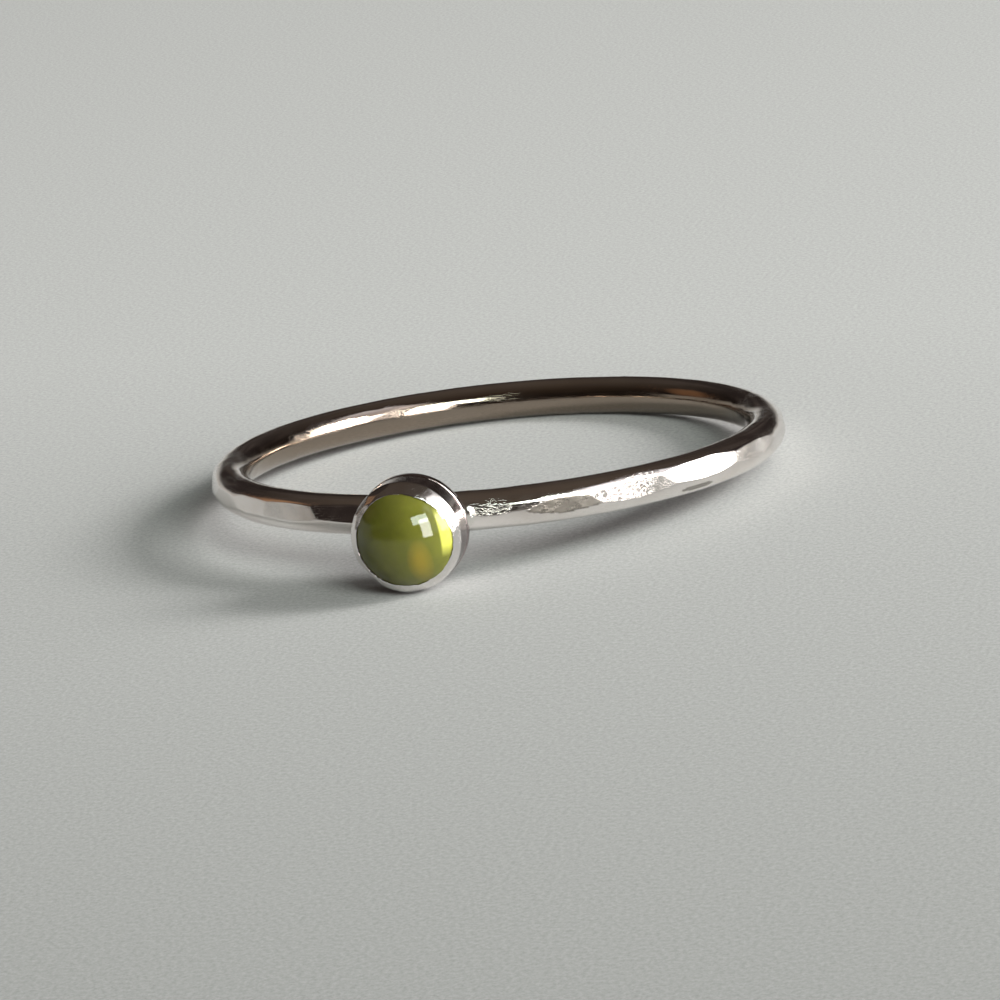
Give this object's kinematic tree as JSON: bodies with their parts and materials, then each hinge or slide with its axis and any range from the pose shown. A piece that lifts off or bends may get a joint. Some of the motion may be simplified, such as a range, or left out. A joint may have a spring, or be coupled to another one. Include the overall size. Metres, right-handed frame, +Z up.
{
  "type": "stackable ring",
  "caption": "Slim finger ring of hammered round silver wire with a small round green cabochon in a plain bezel cup, lying on its side.",
  "frame": {"origin": "on the surface that the ring lies on, under the middle of its bounding box", "axes": "+Z up, -Y towards the stone, +X along the band to the right of the stone"},
  "size_m": [0.0192, 0.0214, 0.0037],
  "materials": {
    "silver": "polished sterling silver, hammered, with fine scratches",
    "green_stone": "polished translucent olive green stone with a milky depth"
  },
  "bodies": {
    "root": {"silver_ring": "silver", "cabochon": "green_stone"}
  },
  "joints": []
}
